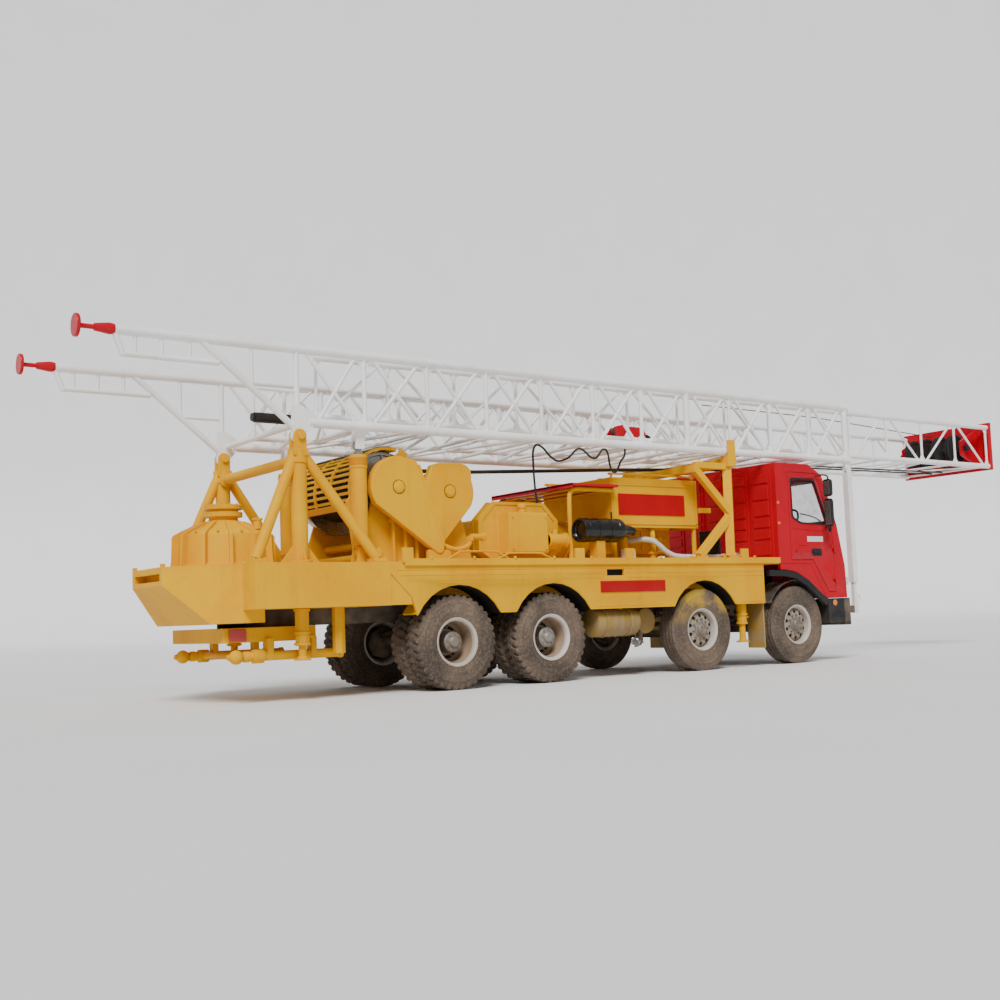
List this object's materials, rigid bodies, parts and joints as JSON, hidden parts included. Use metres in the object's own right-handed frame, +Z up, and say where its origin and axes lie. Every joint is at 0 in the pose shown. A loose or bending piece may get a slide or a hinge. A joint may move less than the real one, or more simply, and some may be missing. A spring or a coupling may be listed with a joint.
{
  "type": "workover rig",
  "caption": "Truck-mounted well workover rig: telescoping lattice mast lying over the cab, raised by hydraulic cylinders, with a drawworks, deck engine and steered and driven axles.",
  "frame": {"origin": "middle of the machine's box on the ground, under the mast's half length", "axes": "+X towards the cab's front, +Y to the driver's left, +Z up"},
  "size_m": [16.05, 2.94, 4],
  "materials": {
    "yellow_paint": "gloss yellow, worn",
    "white_paint": "gloss white, worn",
    "red_paint": "gloss red, worn",
    "black_paint": "satin black",
    "tyre_rubber": "matte, dusty",
    "wheel_steel": "matte, dusty",
    "machined_steel": "bright",
    "cab_trim": "matte",
    "window_glass": "tinted"
  },
  "bodies": {
    "carrier": {"chassis_frame": "black_paint", "platform": "yellow_paint", "skirt_right": "yellow_paint", "skirt_left": "yellow_paint", "rear_underframe": "yellow_paint", "a_frame_right": "yellow_paint", "a_frame_left": "yellow_paint", "gear_housing": "yellow_paint", "drawworks_frame": "yellow_paint", "chain_case": "yellow_paint", "gearbox": "yellow_paint", "deck_engine": "black_paint", "engine_hood": "yellow_paint", "engine_canopy": "red_paint", "gantry": "yellow_paint", "cab_shell": "red_paint", "cab_interior": "cab_trim", "windscreen": "window_glass", "bumper": "black_paint", "fuel_tank": "yellow_paint", "silencer": "black_paint", "front_axles": "black_paint", "rear_bogie": "black_paint"},
    "main_drum": {"main_drum": "machined_steel"},
    "door_right": {"door_right": "red_paint"},
    "door_left": {"door_left": "red_paint"},
    "knuckle_1_right": {"knuckle_1_right": "black_paint"},
    "wheel_1_right": {"tyre_1_right": "tyre_rubber", "rim_1_right": "wheel_steel"},
    "knuckle_1_left": {"knuckle_1_left": "black_paint"},
    "wheel_1_left": {"tyre_1_left": "tyre_rubber", "rim_1_left": "wheel_steel"},
    "knuckle_2_right": {"knuckle_2_right": "black_paint"},
    "wheel_2_right": {"tyre_2_right": "tyre_rubber", "rim_2_right": "wheel_steel"},
    "knuckle_2_left": {"knuckle_2_left": "black_paint"},
    "wheel_2_left": {"tyre_2_left": "tyre_rubber", "rim_2_left": "wheel_steel"},
    "wheel_3_right": {"tyre_3_right": "tyre_rubber", "rim_3_right": "wheel_steel"},
    "wheel_3_left": {"tyre_3_left": "tyre_rubber", "rim_3_left": "wheel_steel"},
    "wheel_4_right": {"tyre_4_right": "tyre_rubber", "rim_4_right": "wheel_steel"},
    "wheel_4_left": {"tyre_4_left": "tyre_rubber", "rim_4_left": "wheel_steel"},
    "mast_lower": {"mast_lower": "white_paint", "extension_cylinder": "black_paint", "loop_cable": "black_paint"},
    "mast_upper": {"mast_upper": "white_paint", "crown_block": "red_paint"},
    "ram_barrel_right": {"ram_barrel_right": "yellow_paint"},
    "ram_rod_right": {"ram_rod_right": "machined_steel"},
    "ram_barrel_left": {"ram_barrel_left": "yellow_paint"},
    "ram_rod_left": {"ram_rod_left": "machined_steel"},
    "mast_post": {"mast_post": "white_paint"},
    "jack_leg_rear_right": {"jack_leg_rear_right": "yellow_paint"},
    "jack_leg_rear_left": {"jack_leg_rear_left": "yellow_paint"},
    "jack_leg_front_right": {"jack_leg_front_right": "yellow_paint"},
    "jack_leg_front_left": {"jack_leg_front_left": "yellow_paint"}
  },
  "joints": [
    {"name": "drum_spin", "type": "hinge", "parent": "carrier", "child": "main_drum", "pos_m": [-4.295, 0, 2.39], "axis": [0, 1, 0], "continuous": true},
    {"name": "door_right_hinge", "type": "hinge", "parent": "carrier", "child": "door_right", "pos_m": [3.135, -1.214, 1.9], "axis": [0, 0, 1], "range_deg": [0, 65]},
    {"name": "door_left_hinge", "type": "hinge", "parent": "carrier", "child": "door_left", "pos_m": [3.135, 1.214, 1.9], "axis": [0, 0, -1], "range_deg": [0, 65]},
    {"name": "steer_1_right", "type": "hinge", "parent": "carrier", "child": "knuckle_1_right", "pos_m": [2.285, -0.84, 0.56], "axis": [0, 0, 1], "range_deg": [-30, 30]},
    {"name": "spin_1_right", "type": "hinge", "parent": "knuckle_1_right", "child": "wheel_1_right", "pos_m": [2.285, -1, 0.56], "axis": [0, 1, 0], "continuous": true},
    {"name": "steer_1_left", "type": "hinge", "parent": "carrier", "child": "knuckle_1_left", "pos_m": [2.285, 0.84, 0.56], "axis": [0, 0, 1], "range_deg": [-30.1, 30.1]},
    {"name": "spin_1_left", "type": "hinge", "parent": "knuckle_1_left", "child": "wheel_1_left", "pos_m": [2.285, 1, 0.56], "axis": [0, 1, 0], "continuous": true},
    {"name": "steer_2_right", "type": "hinge", "parent": "carrier", "child": "knuckle_2_right", "pos_m": [0.345, -0.84, 0.56], "axis": [0, 0, 1], "range_deg": [-18.7, 18.7]},
    {"name": "spin_2_right", "type": "hinge", "parent": "knuckle_2_right", "child": "wheel_2_right", "pos_m": [0.345, -1, 0.56], "axis": [0, 1, 0], "continuous": true},
    {"name": "steer_2_left", "type": "hinge", "parent": "carrier", "child": "knuckle_2_left", "pos_m": [0.345, 0.84, 0.56], "axis": [0, 0, 1], "range_deg": [-18.7, 18.7]},
    {"name": "spin_2_left", "type": "hinge", "parent": "knuckle_2_left", "child": "wheel_2_left", "pos_m": [0.345, 1, 0.56], "axis": [0, 1, 0], "continuous": true},
    {"name": "spin_3_right", "type": "hinge", "parent": "carrier", "child": "wheel_3_right", "pos_m": [-2.275, -1, 0.56], "axis": [0, 1, 0], "continuous": true},
    {"name": "spin_3_left", "type": "hinge", "parent": "carrier", "child": "wheel_3_left", "pos_m": [-2.275, 1, 0.56], "axis": [0, 1, 0], "continuous": true},
    {"name": "spin_4_right", "type": "hinge", "parent": "carrier", "child": "wheel_4_right", "pos_m": [-3.675, -1, 0.56], "axis": [0, 1, 0], "continuous": true},
    {"name": "spin_4_left", "type": "hinge", "parent": "carrier", "child": "wheel_4_left", "pos_m": [-3.675, 1, 0.56], "axis": [0, 1, 0], "continuous": true},
    {"name": "mast_raise", "type": "hinge", "parent": "carrier", "child": "mast_lower", "pos_m": [-5.615, 0, 2.9], "axis": [0, -1, 0], "range_deg": [0, 90]},
    {"name": "mast_extend", "type": "slide", "parent": "mast_lower", "child": "mast_upper", "axis": [1, 0, 0], "range_m": [0, 7]},
    {"name": "ram_tilt_right", "type": "hinge", "parent": "carrier", "child": "ram_barrel_right", "pos_m": [-4.805, -0.93, 1.62], "axis": [0, -1, 0], "range_deg": [0, 20.32]},
    {"name": "ram_stroke_right", "type": "slide", "parent": "ram_barrel_right", "child": "ram_rod_right", "axis": [0, 0, 1], "range_m": [0, 0.9893]},
    {"name": "ram_tilt_left", "type": "hinge", "parent": "carrier", "child": "ram_barrel_left", "pos_m": [-4.805, 0.93, 1.62], "axis": [0, -1, 0], "range_deg": [0, 20.32]},
    {"name": "ram_stroke_left", "type": "slide", "parent": "ram_barrel_left", "child": "ram_rod_left", "axis": [0, 0, 1], "range_m": [0, 0.9893]},
    {"name": "post_swing", "type": "hinge", "parent": "mast_lower", "child": "mast_post", "pos_m": [3.765, -1.04, 2.935], "axis": [0, -1, 0], "range_deg": [0, 80]},
    {"name": "jack_rear_right", "type": "slide", "parent": "carrier", "child": "jack_leg_rear_right", "axis": [0, 0, -1], "range_m": [0, 0.43]},
    {"name": "jack_rear_left", "type": "slide", "parent": "carrier", "child": "jack_leg_rear_left", "axis": [0, 0, -1], "range_m": [0, 0.43]},
    {"name": "jack_front_right", "type": "slide", "parent": "carrier", "child": "jack_leg_front_right", "axis": [0, 0, -1], "range_m": [0, 0.34]},
    {"name": "jack_front_left", "type": "slide", "parent": "carrier", "child": "jack_leg_front_left", "axis": [0, 0, -1], "range_m": [0, 0.34]}
  ],
  "couplings": [
    {"joint": "steer_1_left", "follows": "steer_1_right", "ratio": 1},
    {"joint": "steer_2_right", "follows": "steer_1_right", "ratio": 0.62},
    {"joint": "steer_2_left", "follows": "steer_1_right", "ratio": 0.62},
    {"joint": "ram_tilt_right", "follows": "mast_raise", "ratio": 0.22472},
    {"joint": "ram_stroke_right", "follows": "mast_raise", "m_per_rad": 0.62855},
    {"joint": "ram_tilt_left", "follows": "mast_raise", "ratio": 0.22472},
    {"joint": "ram_stroke_left", "follows": "mast_raise", "m_per_rad": 0.62855}
  ]
}
